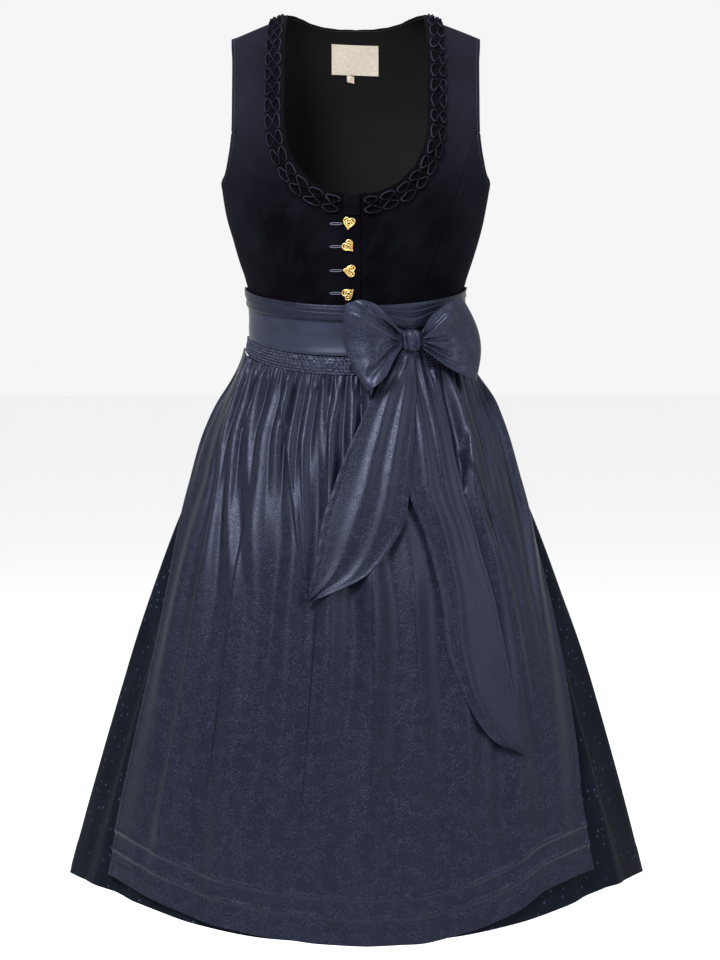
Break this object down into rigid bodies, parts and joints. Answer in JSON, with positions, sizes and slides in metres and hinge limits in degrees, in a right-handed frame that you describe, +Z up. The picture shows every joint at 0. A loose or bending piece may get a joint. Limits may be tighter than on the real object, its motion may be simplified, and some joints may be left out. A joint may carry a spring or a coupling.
{
  "type": "dirndl",
  "caption": "Sleeveless velvet bodice with a ruched round neckline and heart buttons on a gathered skirt, under a smocked satin apron tied in a bow at the side.",
  "frame": {"origin": "level with the neck points and midway between the shoulder seams, where the wearer's shoulders carry the dress", "axes": "+Z up along the wearer, -Y towards the front with the apron, +X towards the wearer's left, where the bow sits"},
  "size_m": [0.6935, 0.4822, 1.051],
  "materials": {
    "velvet": "near-black navy cotton velvet, soft pile",
    "lining": "plain black cotton lining",
    "label_tape": "cream woven tape, bare",
    "gold_metal": "bright openwork casting, darker in its recesses",
    "skirt_cloth": "dark navy cloth with small tonal specks",
    "apron_jacquard": "slate-navy satin jacquard, soft sheen, small tonal leaf figure",
    "plain_satin": "plain slate satin"
  },
  "bodies": {
    "root": {"bodice_front_right": "velvet", "bodice_front_left": "velvet", "bodice_side_front_right": "velvet", "bodice_side_back_right": "velvet", "bodice_side_front_left": "velvet", "bodice_side_back_left": "velvet", "bodice_back": "velvet", "lining_back": "lining", "neck_label": "label_tape", "size_tab": "label_tape", "trim_front_right": "velvet", "trim_front_left": "velvet", "trim_back": "velvet", "trim_end": "velvet", "button_1": "gold_metal", "button_2": "gold_metal", "button_3": "gold_metal", "button_4": "gold_metal", "skirt_front": "skirt_cloth", "skirt_back": "skirt_cloth", "apron_panel": "apron_jacquard", "apron_smocked_band": "apron_jacquard", "apron_waistband": "plain_satin", "tie_wrap_front": "apron_jacquard", "tie_wrap_back": "apron_jacquard", "bow_loop_right": "apron_jacquard", "bow_loop_left": "apron_jacquard", "bow_knot": "apron_jacquard", "tie_tail_long": "apron_jacquard", "tie_tail_short": "apron_jacquard"}
  },
  "joints": []
}
